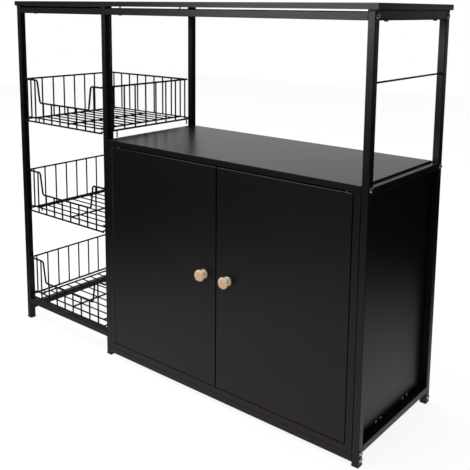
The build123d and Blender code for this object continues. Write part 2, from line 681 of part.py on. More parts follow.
def front_rim_height(x):
    """Height of the scooped rim's middle above a place along the front."""
    points = scoop_points()
    for (x0, z0), (x1, z1) in zip(points, points[1:]):
        if x0 <= x <= x1:
            return z0 + (z1 - z0) * (x - x0) / (x1 - x0)
    return RIM_Z


def scooped_rim():
    """Rim wire along the scoop, its bends made of short straight runs."""
    bent = FilletPolyline(*scoop_points(), radius=SCOOP_BEND)
    bends = bent.edges().filter_by(GeomType.CIRCLE)
    turns = [bend @ (i / BEND_RUNS) for bend in bends for i in range(BEND_RUNS + 1)]
    corners = sorted([bent @ 0, *turns, bent @ 1], key=lambda point: point.X)
    plane = Plane((0, RIM_FRONT, 0), x_dir=(1, 0, 0), z_dir=(0, -1, 0))
    path = plane * Polyline(*corners)
    section = Plane(path @ 0, x_dir=(0, 0, 1), z_dir=path % 0)
    return sweep(section * wire_section(RIM_WIRE, RIM_SIDES), path, transition=Transition.RIGHT)


def basket_front():
    """Front wall: the rim dips between two shoulders so that a hand can reach in."""
    base = wire_x(FLOOR_WIRE, FLOOR_SIDES, RIM_LEFT, RIM_RIGHT, RIM_FRONT, BASE_Z)
    uprights = [
        wire_z(UPRIGHT_WIRE, WIRE_SIDES, BASE_Z, front_rim_height(x), x, RIM_FRONT)
        for x in upright_places("front", RIM_LEFT, RIM_RIGHT, ACROSS_PITCH)
    ]
    return scooped_rim().fuse(base, *uprights)


def basket_runner():
    """Runner bar with its two hanging pins; the origin is at the top of its front end."""
    length = FRAME_DEPTH - 2 * RUNNER_SETBACK
    z = -RUNNER_DIAMETER / 2
    bar_between_posts = wire_y(RUNNER_DIAMETER, BEARER_SIDES, 0, length, 0, z)
    front, back = FRONT_PIN_AT - RUNNER_SETBACK, length + RUNNER_SETBACK - BACK_PIN_AT
    return bar_between_posts.fuse(
        wire_z(STOP_PIN, WIRE_SIDES, z - FRONT_PIN_DROP, z, 0, front),
        wire_z(STOP_PIN, WIRE_SIDES, z - BACK_PIN_DROP, z, 0, back),
    )


def basket_runners():
    """Runners welded to the posts, a pair under each basket."""
    one = basket_runner()
    return [
        Pos(x, FRONT + RUNNER_SETBACK, LOWEST_RUNNER + level * BASKET_PITCH) * one
        for level in range(len(BASKET_NAMES))
        for x in RUNNER_X.values()
    ]


def group(shapes):
    """One node made of separate solids."""
    return Compound([solid for shape in shapes for solid in shape.solids()])


def frame_nodes():
    nodes = {}
    for side in POST_X:
        for row in POST_Y:
            nodes[f"{row}_{side}_post"] = post(side, row)
    nodes["top_side_rails"] = group(
        rail_along_y(x, TOP_RAIL_BASE) - top_screw_holes() for x in POST_X.values()
    )
    nodes["lower_side_rails"] = group(rail_along_y(x, SIDE_RAIL_BASE) for x in POST_X.values())
    nodes["worktop_side_rails"] = group(
        rail_along_y(POST_X[side], WORKTOP_RAIL_BASE) for side in ("middle", "right")
    )
    basket = POST_X["left"] + TUBE, POST_X["middle"]
    cabinet = BAY_LEFT, BAY_RIGHT
    for row, y in POST_Y.items():
        nodes[f"{row}_top_rail_basket_bay"] = rail_along_x(*basket, y, TOP_RAIL_BASE)
        nodes[f"{row}_top_rail_cupboard_bay"] = rail_along_x(*cabinet, y, TOP_RAIL_BASE)
        nodes[f"{row}_lower_rail_basket_bay"] = rail_along_x(*basket, y, BASKET_RAIL_BASE)
        nodes[f"{row}_lower_rail_cupboard_bay"] = rail_along_x(*cabinet, y, CABINET_RAIL_BASE)
    nodes["worktop_back_rail"] = rail_along_x(*cabinet, BACK_POST, WORKTOP_RAIL_BASE)
    nodes["hanging_rod"] = hanging_rod()
    return nodes


def board_nodes():
    return {
        "top_board": top_board(),
        "worktop": worktop(),
        "cupboard_floor": floor_board(),
        "left_side_panel": side_panel("left"),
        "right_side_panel": side_panel("right"),
        "back_panel": back_panel(),
    }


def hardware_nodes():
    corners = [(side, row) for side in POST_X for row in POST_Y]
    return {
        "feet": group(foot(*corner) for corner in corners),
        "top_spacers": group(top_spacer(*corner) for corner in corners),
        "frame_bolts": group(frame_bolts()),
        "rail_plugs": group(rail_plugs()),
        "top_screws": group(top_screws()),
        "corner_brackets": group(brackets()),
        "panel_screws": group(panel_screws()),
        "pivot_bushes": group(pivot_bushes()),
        "door_catches": group(door_catches()),
        "basket_runners": group(basket_runners()),
    }


def door_nodes():
    nodes = {}
    for side in ("left", "right"):
        nodes[f"{side}_door"] = door(side)
        nodes[f"{side}_door_pins"] = group(door_pins(side))
        nodes[f"{side}_knob"] = knob(side)
        nodes[f"{side}_knob_screw"] = knob_screw(side)
        nodes[f"{side}_strike_plate"] = strike_plate(side)
    return nodes


def basket_nodes():
    panels = {
        "floor": group(basket_floor()),
        "left_side": basket_side("left"),
        "right_side": basket_side("right"),
        "back": basket_back(),
        "front": basket_front(),
    }
    nodes = {}
    for level, name in enumerate(BASKET_NAMES):
        lift = Pos(0, 0, level * BASKET_PITCH)
        for panel, shape in panels.items():
            nodes[f"{name}_{panel}"] = lift * shape
    return nodes


os.makedirs("parts", exist_ok=True)
for make in (frame_nodes, board_nodes, hardware_nodes, door_nodes, basket_nodes):
    for name, shape in make().items():
        export_step(shape, f"parts/{name}.step")
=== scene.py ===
import json
import math

import bmesh
import bpy
from mathutils import Matrix, Vector


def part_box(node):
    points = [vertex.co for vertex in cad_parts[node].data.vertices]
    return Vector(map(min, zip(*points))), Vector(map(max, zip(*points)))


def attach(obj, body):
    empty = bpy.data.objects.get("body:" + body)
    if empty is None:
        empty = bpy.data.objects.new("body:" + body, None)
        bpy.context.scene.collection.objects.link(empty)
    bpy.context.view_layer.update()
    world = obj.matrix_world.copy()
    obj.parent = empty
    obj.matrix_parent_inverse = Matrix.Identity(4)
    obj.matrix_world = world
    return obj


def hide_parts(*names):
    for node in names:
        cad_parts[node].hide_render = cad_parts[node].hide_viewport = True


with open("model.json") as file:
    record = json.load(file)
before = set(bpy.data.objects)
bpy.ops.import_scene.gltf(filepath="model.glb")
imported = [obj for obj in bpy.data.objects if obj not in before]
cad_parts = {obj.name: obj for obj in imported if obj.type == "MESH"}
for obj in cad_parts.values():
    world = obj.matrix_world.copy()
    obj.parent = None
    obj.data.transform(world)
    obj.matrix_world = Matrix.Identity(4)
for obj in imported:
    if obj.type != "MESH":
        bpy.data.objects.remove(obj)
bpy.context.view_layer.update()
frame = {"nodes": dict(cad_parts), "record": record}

MM = 0.001

# Wires of the baskets and of what carries them
BASKETS = ("lower_basket", "middle_basket", "upper_basket")
RIM_WIRE = 4.2 * MM
UPRIGHT_WIRE = 3.6 * MM  # uprights, and the lowest wires of the sides
FLOOR_WIRE = 4.0 * MM  # floor edges, lowest front wire, and the two wires that lie on the runners
MESH_WIRE = 3.0 * MM
BEARER_WIRE = 4.0 * MM
FULLER = 1.17  # free basket wires are drawn this much thicker, as heavy as the photograph shows
FLOOR_INSET = 24.0 * MM  # side wall to the edge of the floor grid
FLOOR_SETBACK = 15.2 * MM  # front wall to the first floor wire
FLOOR_GAPS = 10
ACROSS_PITCH = 35.2 * MM  # uprights of the front and back walls
ALONG_PITCH = 37.4 * MM  # uprights of the side walls
# First upright of each wall, from the wall's left or front end
FIRST_UPRIGHT = {"front": 11.0 * MM, "back": 14.4 * MM, "left": 19.4 * MM, "right": 38.9 * MM}
LAST_UPRIGHT = 5.0 * MM  # least room after a wall's last upright
SCOOP_DROP = 61.0 * MM  # shoulder of the front rim down to its lowered middle
SCOOP_SHOULDER = 48.0 * MM  # corner of the rim to the start of the scoop
SCOOP_SLOPE = 10.0 * MM
SCOOP_SHIFT = 9.0 * MM  # the photograph shows the scoop this far right of the basket's middle
SCOOP_BEND = 7.0 * MM
BEND_STEPS = 8
RUNNER = 4.0 * MM
RUN_GAP = 0.3 * MM  # carrying wires above the runners
WELD_GAP = 0.05 * MM  # runner to the posts that it is welded to
STOP_PIN = 3.6 * MM  # pins that hang from the runners
FRONT_PIN_AT = 48.0 * MM  # front of the posts to the front pin
BACK_PIN_AT = 19.0 * MM  # back of the posts to the back pin
FRONT_PIN_DROP = 18.0 * MM
BACK_PIN_DROP = 14.0 * MM
HANGING_ROD = 4.0 * MM
TUBE_ROUND = 1.5 * MM  # corners of the square tube
TUBE_ROUND_STEPS = 3
ROUND_PROFILE = 0.5  # bevel profile of a true quarter circle
BOARD_TOUCH = 0.05 * MM  # outer top side rails to the board that lies on them
WIRE_ROUNDNESS = 4  # steps in a quarter of a wire's round section

# Degrees past which an edge stays crisp
KNOB_CRISP = 60
FASTENER_CRISP = 35
TUBE_CRISP = 40

# Turned knob: radius and height above the door, in millimetres, along its outline
KNOB_OUTLINE = (
    (10.0, 0.0), (10.5, 0.5), (10.5, 1.6), (9.0, 2.8), (7.4, 4.4), (6.4, 6.6), (7.0, 8.8),
    (9.0, 11.0), (11.4, 12.8), (12.7, 14.2), (13.1, 15.8), (12.8, 17.6), (11.6, 19.4),
    (9.6, 20.6), (6.0, 21.0), (2.5, 21.1),
)
KNOB_STEPS = 4  # rings between two outline points
KNOB_SEGMENTS = 64

# Button-head bolts and pan-head screws, in millimetres
BOLT_HEAD = 11.0
BOLT_HEAD_HEIGHT = 3.0
BOLT_SHANK = 6.0
BOLT_LENGTH = 28.0
BOLT_TIP_BEVEL = 0.6
BOLT_LIP = 0.25  # bevel under the dome of the head
BOLT_DOME_STEPS = 4
BOLT_RIM = 3.0  # top of the dome, from the axis
BOLT_KEY = 4.0  # across the flats of the hexagon socket
BOLT_KEY_FLOOR = 1.0  # foot of the socket's flats above the seat
BOLT_KEY_TIP = 0.5  # deepest point of the drilled socket above the seat
SCREW_SHANK = 4.0
SCREW_HEAD_BEVEL = 0.1
# Pan head over its seat: share of the head's radius, share of its height, ring kind
PAN_HEAD = (
    (1.0, 0.35, "round"), (0.9, 0.8, "round"), (0.7, 1.0, "round"),
    (0.55, 1.0, "cross"), (0.4, 0.45, "cross"), (0.0, 0.3, "round"),
)
CROSS_WAIST = 0.35  # inner corners of a cross recess, as a share of its reach
CROSS_SHARPNESS = 8  # a higher power gives narrower arms
TOP_SCREW = (8.0, 2.4, 28.0)  # head, head height and length
PANEL_SCREW = (7.0, 1.4, 17.0)
FLOOR_SCREW = (7.0, 1.4, 11.0)
KNOB_SCREW = (8.0, 2.2, 30.0)
FASTENER_SEGMENTS = 24
BRACKET_HALF = 20.0 * MM  # middle of an angle bracket to its end
BRACKET_REACH = 21.0 * MM  # side panel to the screw in the bracket's flat leg
BRACKET_THICKNESS = 2.0 * MM
PANEL_SCREW_STEP = 10.0 * MM  # middle of a bracket to its two side screws
PANEL_SCREW_HEIGHT = 12.0 * MM  # above the cupboard floor

# The photograph's camera, fitted to the frame, the boards, the baskets and the knobs
CAMERA_PLACE = (1.18366, -1.31267, 0.89772)
CAMERA_TURN = 0.67984  # radians to the left of straight ahead
CAMERA_TILT = -0.15542
CAMERA_ROLL = 0.01093
CAMERA_LENS = 55.2443
CAMERA_SENSOR = 36.0
CAMERA_SHIFT = (-0.01461, -0.24242)

BARE_STRIP = 9.0 * MM  # brown core behind the front edge of the cupboard's floor and left side

# Patterns
NOISE_LOW, NOISE_HIGH = 0.3, 0.7  # most of a noise pattern's values lie between these
GRAIN_STRETCH = 0.12  # beech grain is drawn out along the knob's axis
# Brown of the knob: real end grain on its face, and painted shade on the foot's slope under the waist
END_GRAIN_AND_SHADE_START, END_GRAIN_AND_SHADE_FULL = -0.25, -1.0  # Y part of the direction that the wood faces
FLECK_START, FLECK_FULL = 0.62, 0.75  # only the peaks of the pattern are flecks
FLECK_DEPTH = 0.5  # share of brown in a full fleck
FACING_INWARDS = 0.5  # part of a carcass face's direction that counts as inwards

# Studio, in metres
BACKDROP_SIDE = (-0.7, 0.7, 0.0)  # towards the lit backdrop, behind to the left
BACKDROP_START, BACKDROP_FULL = 0.2, 0.95  # closeness to that direction
BACKDROP_FADE, BACKDROP_END = 0.26, 0.42  # height over the horizon where its light fades and ends
ROOM_LIGHT = 0.55  # strength of the soft light from all round
POOL_CENTRE = (0.3, -0.3, 0.0)  # of the light that reflections see on the floor
POOL_FADE, POOL_END = 0.35, 1.55  # metres from its centre
POOL_LIGHT = 0.64
PAPER_GLOW = 1.05  # paper as the camera sees it, a little over white
PAPER_GLOW_SHARE = 0.85  # of what the camera sees; the rest is lit paper, with the shadow
FLOOR_HALF = 6.0  # metres from the cabinet to the edges of the paper
# Soft boxes: place, aim, width, height and watts
OVERHEAD_BOX = ((-1.0, -0.2, 3.0), (-1.0, -0.2, 0.0), 3.2, 2.6, 105.0)
FRONT_LEFT_BOX = ((-1.1, -2.65, 1.15), (0.0, 0.0, 0.9), 1.7, 0.6, 25.0)

# Sockets of a mix node for colours, and of one for numbers
FACTOR, FIRST, SECOND, MIXED = 0, 6, 7, 2
FIRST_NUMBER, SECOND_NUMBER = 2, 3


def linear(hex_colour):
    """An sRGB hex colour as linear red, green, blue and alpha."""
    shares = [int(hex_colour[i : i + 2], 16) / 255 for i in (1, 3, 5)]
    return [s / 12.92 if s <= 0.04045 else ((s + 0.055) / 1.055) ** 2.4 for s in shares] + [1.0]


def per_metre(size_mm):
    """Pattern scale at which one feature is that many millimetres wide."""
    return 1000.0 / size_mm


def add(tree, kind, inputs=None, **settings):
    """Adds a node; an input is a value, a socket, or a node whose first output is used."""
    node = tree.nodes.new(kind)
    for name, value in settings.items():
        setattr(node, name, value)
    for socket, value in (inputs or {}).items():
        if isinstance(value, bpy.types.Node):
            value = value.outputs[0]
        if isinstance(value, bpy.types.NodeSocket):
            tree.links.new(value, node.inputs[socket])
        else:
            node.inputs[socket].default_value = value
    return node


def new_finish(name):
    """A material and its empty node tree."""
    material = bpy.data.materials.new(name)
    material.use_nodes = True
    material.node_tree.nodes.clear()
    return material, material.node_tree


def powder_coated_steel():
    """Baked black powder on steel tube: satin, with a faint orange peel that softens reflections."""
    material, tree = new_finish("black_powder_coated_steel")
    place = add(tree, "ShaderNodeTexCoord").outputs["Object"]
    clouds = add(tree, "ShaderNodeTexNoise", {"Vector": place, "Scale": per_metre(40.0)})
    colour = add(
        tree, "ShaderNodeMix",
        {FACTOR: clouds, FIRST: linear("#080809"), SECOND: linear("#0d0d0e")}, data_type="RGBA",
    ).outputs[MIXED]
    # Real orange peel is about 1 mm; drawn at 3 mm so that it shows.
    peel = add(tree, "ShaderNodeTexNoise", {"Vector": place, "Scale": per_metre(3.0)})
    roughness = add(
        tree, "ShaderNodeMapRange",
        {
            "Value": peel, "From Min": NOISE_LOW, "From Max": NOISE_HIGH,
            "To Min": 0.27, "To Max": 0.36,
        },
    )
    bump = add(
        tree, "ShaderNodeBump", {"Height": peel, "Distance": 0.05 * MM, "Strength": 0.25}
    )
    shader = add(
        tree, "ShaderNodeBsdfPrincipled",
        {"Base Color": colour, "Roughness": roughness, "Normal": bump, "Specular IOR Level": 0.34},
    )
    add(tree, "ShaderNodeOutputMaterial", {"Surface": shader})
    return material


def dip_coated_wire():
    """Dip-coated steel wire: a smooth black film, a little thicker where it ran before it set."""
    material, tree = new_finish("black_dip_coated_wire")
    place = add(tree, "ShaderNodeTexCoord").outputs["Object"]
    runs = add(tree, "ShaderNodeTexNoise", {"Vector": place, "Scale": per_metre(12.0)})
    colour = add(
        tree, "ShaderNodeMix",
        {FACTOR: runs, FIRST: linear("#050505"), SECOND: linear("#0a0a0b")}, data_type="RGBA",
    ).outputs[MIXED]
    roughness = add(
        tree, "ShaderNodeMapRange",
        {
            "Value": runs, "From Min": NOISE_LOW, "From Max": NOISE_HIGH,
            "To Min": 0.32, "To Max": 0.46,
        },
    )
    bump = add(
        tree, "ShaderNodeBump", {"Height": runs, "Distance": 0.1 * MM, "Strength": 0.2}
    )
    shader = add(
        tree, "ShaderNodeBsdfPrincipled",
        {"Base Color": colour, "Roughness": roughness, "Normal": bump, "Specular IOR Level": 0.18},
    )
    add(tree, "ShaderNodeOutputMaterial", {"Surface": shader})
    return material


def melamine_board(name, bare_strips):
    """Melamine paper pressed on MDF with a fine pearl plate: black, satin, soft reflections.

    On the cupboard's floor and left side the film stops short of the front edge, so that a strip
    of the brown core shows in the gaps round the doors.
    """
    material, tree = new_finish(name)
    coordinates = add(tree, "ShaderNodeTexCoord")
    place = coordinates.outputs["Object"]
    clouds = add(
        tree, "ShaderNodeTexNoise", {"Vector": place, "Scale": per_metre(60.0), "Detail": 3.0}
    )
    colour = add(
        tree, "ShaderNodeMix",
        {FACTOR: clouds, FIRST: linear("#070708"), SECOND: linear("#0c0c0d")}, data_type="RGBA",
    ).outputs[MIXED]
    # Real pearl grain is about 0.5 mm; drawn at 2 mm so that it shows.
    pearl = add(tree, "ShaderNodeTexNoise", {"Vector": place, "Scale": per_metre(2.0)})
    roughness = add(
        tree, "ShaderNodeMapRange",
        {
            "Value": pearl, "From Min": NOISE_LOW, "From Max": NOISE_HIGH,
            "To Min": 0.29, "To Max": 0.35,
        },
    )
    if bare_strips:
        facing = add(tree, "ShaderNodeSeparateXYZ", {"Vector": coordinates.outputs["Normal"]}).outputs
        inwards = add(
            tree, "ShaderNodeMath", {0: facing["X"], 1: facing["Z"]}, operation="MAXIMUM"
        )
        inside = add(
            tree, "ShaderNodeMath", {0: inwards, 1: FACING_INWARDS}, operation="GREATER_THAN"
        )
        depth = add(tree, "ShaderNodeSeparateXYZ", {"Vector": place}).outputs["Y"]
        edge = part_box("cupboard_floor")[0].y + BARE_STRIP
        near_front = add(tree, "ShaderNodeMath", {0: depth, 1: edge}, operation="LESS_THAN")
        bare = add(tree, "ShaderNodeMath", {0: inside, 1: near_front}, operation="MULTIPLY")
        # Pressed wood fibre, in tufts of about 1 mm.
        fibre = add(tree, "ShaderNodeTexNoise", {"Vector": place, "Scale": per_metre(1.0)})
        core = add(
            tree, "ShaderNodeMix",
            {FACTOR: fibre, FIRST: linear("#4d3122"), SECOND: linear("#6e4a34")}, data_type="RGBA",
        ).outputs[MIXED]
        colour = add(
            tree, "ShaderNodeMix", {FACTOR: bare, FIRST: colour, SECOND: core}, data_type="RGBA"
        ).outputs[MIXED]
    bump = add(
        tree, "ShaderNodeBump", {"Height": pearl, "Distance": 0.04 * MM, "Strength": 0.2}
    )
    shader = add(
        tree, "ShaderNodeBsdfPrincipled",
        {"Base Color": colour, "Roughness": roughness, "Normal": bump, "Specular IOR Level": 0.34},
    )
    add(tree, "ShaderNodeOutputMaterial", {"Surface": shader})
    return material


def turned_beech():
    """Beech turned along the grain and clear-lacquered: pale and warm, with short brown flecks.

    The face shows end grain, which drinks more lacquer and is browner than the sides.
    The same brown on the foot's slope under the waist is painted shade, and the pale rim
    beside the face is partly a painted highlight.
    """
    material, tree = new_finish("turned_beech_clear_lacquer")
    coordinates = add(tree, "ShaderNodeTexCoord")
    place = coordinates.outputs["Object"]
    grain = add(tree, "ShaderNodeMapping", {"Vector": place, "Scale": (1.0, GRAIN_STRETCH, 1.0)})
    rings = add(
        tree, "ShaderNodeTexNoise", {"Vector": grain, "Scale": per_metre(7.0), "Detail": 3.0}
    )
    ring_share = add(
        tree, "ShaderNodeMapRange",
        {"Value": rings, "From Min": NOISE_LOW, "From Max": NOISE_HIGH},
    )
    wood = add(
        tree, "ShaderNodeMix",
        {FACTOR: ring_share, FIRST: linear("#e6dcd2"), SECOND: linear("#d8c7ae")}, data_type="RGBA",
    ).outputs[MIXED]
    facing = add(tree, "ShaderNodeSeparateXYZ", {"Vector": coordinates.outputs["Normal"]})
    # Browner where the wood faces out from the door: real end grain on the face, and painted shade on
    # the foot's slope under the waist; the pale rim left beside it is partly a painted highlight.
    end_grain_and_painted_shade = add(
        tree, "ShaderNodeMapRange",
        {
            "Value": facing.outputs["Y"],
            "From Min": END_GRAIN_AND_SHADE_START, "From Max": END_GRAIN_AND_SHADE_FULL,
        },
    )
    wood = add(
        tree, "ShaderNodeMix",
        {FACTOR: end_grain_and_painted_shade, FIRST: wood, SECOND: linear("#c29e74")}, data_type="RGBA",
    ).outputs[MIXED]
    flecks = add(tree, "ShaderNodeTexNoise", {"Vector": grain, "Scale": per_metre(1.2)})
    fleck_share = add(
        tree, "ShaderNodeMapRange",
        {
            "Value": flecks, "From Min": FLECK_START, "From Max": FLECK_FULL,
            "To Min": 0.0, "To Max": FLECK_DEPTH,
        },
    )
    colour = add(
        tree, "ShaderNodeMix",
        {FACTOR: fleck_share, FIRST: wood, SECOND: linear("#9e754c")}, data_type="RGBA",
    ).outputs[MIXED]
    roughness = add(
        tree, "ShaderNodeMapRange",
        {
            "Value": rings, "From Min": NOISE_LOW, "From Max": NOISE_HIGH,
            "To Min": 0.4, "To Max": 0.55,
        },
    )
    bump = add(
        tree, "ShaderNodeBump", {"Height": flecks, "Distance": 0.05 * MM, "Strength": 0.3}
    )
    shader = add(
        tree, "ShaderNodeBsdfPrincipled",
        {"Base Color": colour, "Roughness": roughness, "Normal": bump, "Specular IOR Level": 0.4},
    )
    add(tree, "ShaderNodeOutputMaterial", {"Surface": shader})
    return material


def zinc_plate():
    """Bright zinc plate on steel: pale grey metal with a slight blue and a fine mottle."""
    material, tree = new_finish("bright_zinc_plated_steel")
    place = add(tree, "ShaderNodeTexCoord").outputs["Object"]
    mottle = add(tree, "ShaderNodeTexNoise", {"Vector": place, "Scale": per_metre(1.5)})
    colour = add(
        tree, "ShaderNodeMix",
        {FACTOR: mottle, FIRST: linear("#b4b6b8"), SECOND: linear("#d2d3d4")}, data_type="RGBA",
    ).outputs[MIXED]
    roughness = add(
        tree, "ShaderNodeMapRange",
        {
            "Value": mottle, "From Min": NOISE_LOW, "From Max": NOISE_HIGH,
            "To Min": 0.25, "To Max": 0.4,
        },
    )
    shader = add(
        tree, "ShaderNodeBsdfPrincipled",
        {"Base Color": colour, "Roughness": roughness, "Metallic": 1.0},
    )
    add(tree, "ShaderNodeOutputMaterial", {"Surface": shader})
    return material


def moulded_plastic():
    """Injection-moulded black polyethylene: matt, with a fine spark-eroded grain."""
    material, tree = new_finish("black_moulded_polyethylene")
    place = add(tree, "ShaderNodeTexCoord").outputs["Object"]
    grain = add(tree, "ShaderNodeTexNoise", {"Vector": place, "Scale": per_metre(1.0)})
    colour = add(
        tree, "ShaderNodeMix",
        {FACTOR: grain, FIRST: linear("#0a0a0a"), SECOND: linear("#101010")}, data_type="RGBA",
    ).outputs[MIXED]
    roughness = add(
        tree, "ShaderNodeMapRange",
        {
            "Value": grain, "From Min": NOISE_LOW, "From Max": NOISE_HIGH,
            "To Min": 0.5, "To Max": 0.62,
        },
    )
    bump = add(
        tree, "ShaderNodeBump", {"Height": grain, "Distance": 0.05 * MM, "Strength": 0.3}
    )
    shader = add(
        tree, "ShaderNodeBsdfPrincipled",
        {"Base Color": colour, "Roughness": roughness, "Normal": bump, "Specular IOR Level": 0.4},
    )
    add(tree, "ShaderNodeOutputMaterial", {"Surface": shader})
    return material


FINISHES = {
    "black_steel": powder_coated_steel(),
    "coated_wire": dip_coated_wire(),
    "black_board": melamine_board("black_melamine_faced_board", bare_strips=False),
    "beech": turned_beech(),
    "zinc_steel": zinc_plate(),
    "black_plastic": moulded_plastic(),
}
CARCASS_FINISH = melamine_board("black_melamine_faced_carcass_board", bare_strips=True)
CARCASS_BOARDS = ("cupboard_floor", "left_side_panel")


def paint_cad_nodes():
    """Gives every CAD node the finish of its material slot."""
    for part in frame["record"]["subparts"]:
        finish = FINISHES[part["material_slot"]]
        if part["node"] in CARCASS_BOARDS:
            finish = CARCASS_FINISH
        for slot in frame["nodes"][part["node"]].material_slots:
            slot.material = finish


def add_piece(name, data, body, slot, *nodes):
    """Puts a finished piece on its body, in place of the CAD nodes that it stands for."""
    piece = bpy.data.objects.new(name, data)
    bpy.context.scene.collection.objects.link(piece)
    data.materials.append(FINISHES[slot])
    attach(piece, body)
    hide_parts(*nodes)


def middle(node):
    """Centre of a CAD node's box."""
    low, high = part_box(node)
    return (low + high) / 2


def straight(start, end, diameter):
    """A straight wire: its two ends and its diameter."""
    return [Vector(start), Vector(end)], diameter


def round_wires(name, wires):
    """One curve of round wires; each wire is its points and its diameter."""
    curve = bpy.data.curves.new(name, "CURVE")
    curve.dimensions = "3D"
    curve.bevel_depth = 0.5 * MM  # times each point's radius, which is the diameter in mm
    curve.bevel_resolution = WIRE_ROUNDNESS
    curve.use_fill_caps = True
    for points, diameter in wires:
        line = curve.splines.new("POLY")
        line.points.add(len(points) - 1)
        for point, place in zip(line.points, points):
            point.co = (*place, 1.0)
            point.radius = diameter / MM
    return curve


def bent(points, radius):
    """A line of points with each inner corner rounded to an arc."""
    rounded = [points[0]]
    for before, corner, after in zip(points, points[1:], points[2:]):
        back = (before - corner).normalized()
        ahead = (after - corner).normalized()
        half = back.angle(ahead) / 2
        centre = corner + (back + ahead).normalized() * radius / math.sin(half)
        start = corner + back * radius / math.tan(half) - centre
        end = corner + ahead * radius / math.tan(half) - centre
        turn = start.angle(end)
        for step in range(BEND_STEPS + 1):
            part = turn * step / BEND_STEPS
            spoke = (start * math.sin(turn - part) + end * math.sin(part)) / math.sin(turn)
            rounded.append(centre + spoke)
    return rounded + [points[-1]]


def upright_places(wall, start, end, pitch):
    """Places of a wall's uprights between its two ends."""
    first = start + FIRST_UPRIGHT[wall]
    count = int((end - LAST_UPRIGHT - first) / pitch) + 1
    return [first + pitch * i for i in range(count)]


def floor_height(basket):
    """Middle of a basket's floor wires."""
    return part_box(basket + "_floor")[1].z - FLOOR_WIRE / 2


class Basket:
    """Middle lines of one wire basket, read from its CAD panels."""

    def __init__(self, name):
        self.name = name
        self.left = middle(name + "_left_side").x
        self.right = middle(name + "_right_side").x
        self.front = middle(name + "_front").y
        self.back = middle(name + "_back").y
        self.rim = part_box(name + "_back")[1].z - RIM_WIRE / 2
        self.floor = floor_height(name)
        self.side_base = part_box(name + "_left_side")[0].z + UPRIGHT_WIRE / 2
        self.front_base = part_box(name + "_front")[0].z + FLOOR_WIRE / 2

    def floor_wires(self):
        """Floor grid with a bearer below; its first and last wires lie on the runners."""
        low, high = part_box(self.name + "_floor")
        first, last = self.front + FLOOR_SETBACK, self.back
        left, right = self.left + FLOOR_INSET, self.right - FLOOR_INSET
        z = self.floor
        wires = [straight((x, first, z), (x, last, z), FLOOR_WIRE * FULLER) for x in (left, right)]
        for i in range(1, FLOOR_GAPS):
            y = first + (last - first) * i / FLOOR_GAPS
            wires.append(straight((left, y, z), (right, y, z), MESH_WIRE * FULLER))
        wires += [straight((low.x, y, z), (high.x, y, z), FLOOR_WIRE) for y in (first, last)]
        centre = (self.left + self.right) / 2
        below = z - (MESH_WIRE + BEARER_WIRE) / 2
        ends = (first + FLOOR_WIRE, last - FLOOR_WIRE)
        bearer = (centre, ends[0], below), (centre, ends[1], below)
        wires.append(straight(*bearer, BEARER_WIRE * FULLER))
        return wires

    def side_wires(self, side, x):
        """Uprights between the rim and a lowest wire that slides beside the runner."""
        y0, y1 = self.front - RIM_WIRE / 2, self.back + RIM_WIRE / 2
        wires = [
            straight((x, y0, self.rim), (x, y1, self.rim), RIM_WIRE * FULLER),
            straight((x, y0, self.side_base), (x, y1, self.side_base), UPRIGHT_WIRE),
        ]
        for y in upright_places(side, self.front, self.back, ALONG_PITCH):
            upright = (x, y, self.side_base), (x, y, self.rim)
            wires.append(straight(*upright, UPRIGHT_WIRE * FULLER))
        return wires

    def back_wires(self):
        """Rim over uprights that stand on the last floor wire."""
        y = self.back
        rim = (self.left, y, self.rim), (self.right, y, self.rim)
        wires = [straight(*rim, RIM_WIRE * FULLER)]
        for x in upright_places("back", self.left, self.right, ACROSS_PITCH):
            wires.append(straight((x, y, self.floor), (x, y, self.rim), UPRIGHT_WIRE * FULLER))
        return wires

    def scoop(self):
        """Corners of the front rim, which dips between two shoulders."""
        low = self.rim - SCOOP_DROP
        inner = SCOOP_SHOULDER + SCOOP_SLOPE
        left, right = self.left + SCOOP_SHIFT, self.right + SCOOP_SHIFT
        places = [
            (self.left, self.rim),
            (left + SCOOP_SHOULDER, self.rim),
            (left + inner, low),
            (right - inner, low),
            (right - SCOOP_SHOULDER, self.rim),
            (self.right, self.rim),
        ]
        return [Vector((x, self.front, z)) for x, z in places]

    def scoop_height(self, x):
        """Height of the front rim over a place along the front."""
        corners = self.scoop()
        for first, last in zip(corners, corners[1:]):
            if first.x <= x <= last.x:
                return first.lerp(last, (x - first.x) / (last.x - first.x)).z

    def front_wires(self):
        """Scooped rim over uprights on the lowest wire of the front."""
        y, base = self.front, self.front_base
        wires = [
            (bent(self.scoop(), SCOOP_BEND), RIM_WIRE * FULLER),
            straight((self.left, y, base), (self.right, y, base), FLOOR_WIRE * FULLER),
        ]
        for x in upright_places("front", self.left, self.right, ACROSS_PITCH):
            upright = (x, y, base), (x, y, self.scoop_height(x))
            wires.append(straight(*upright, UPRIGHT_WIRE * FULLER))
        return wires

    def build(self):
        """Puts the floor and the four walls on the basket's body."""
        panels = {
            "floor": self.floor_wires(),
            "left_side": self.side_wires("left", self.left),
            "right_side": self.side_wires("right", self.right),
            "back": self.back_wires(),
            "front": self.front_wires(),
        }
        for panel, wires in panels.items():
            node = f"{self.name}_{panel}"
            add_piece(node + "_wires", round_wires(node, wires), self.name, "coated_wire", node)


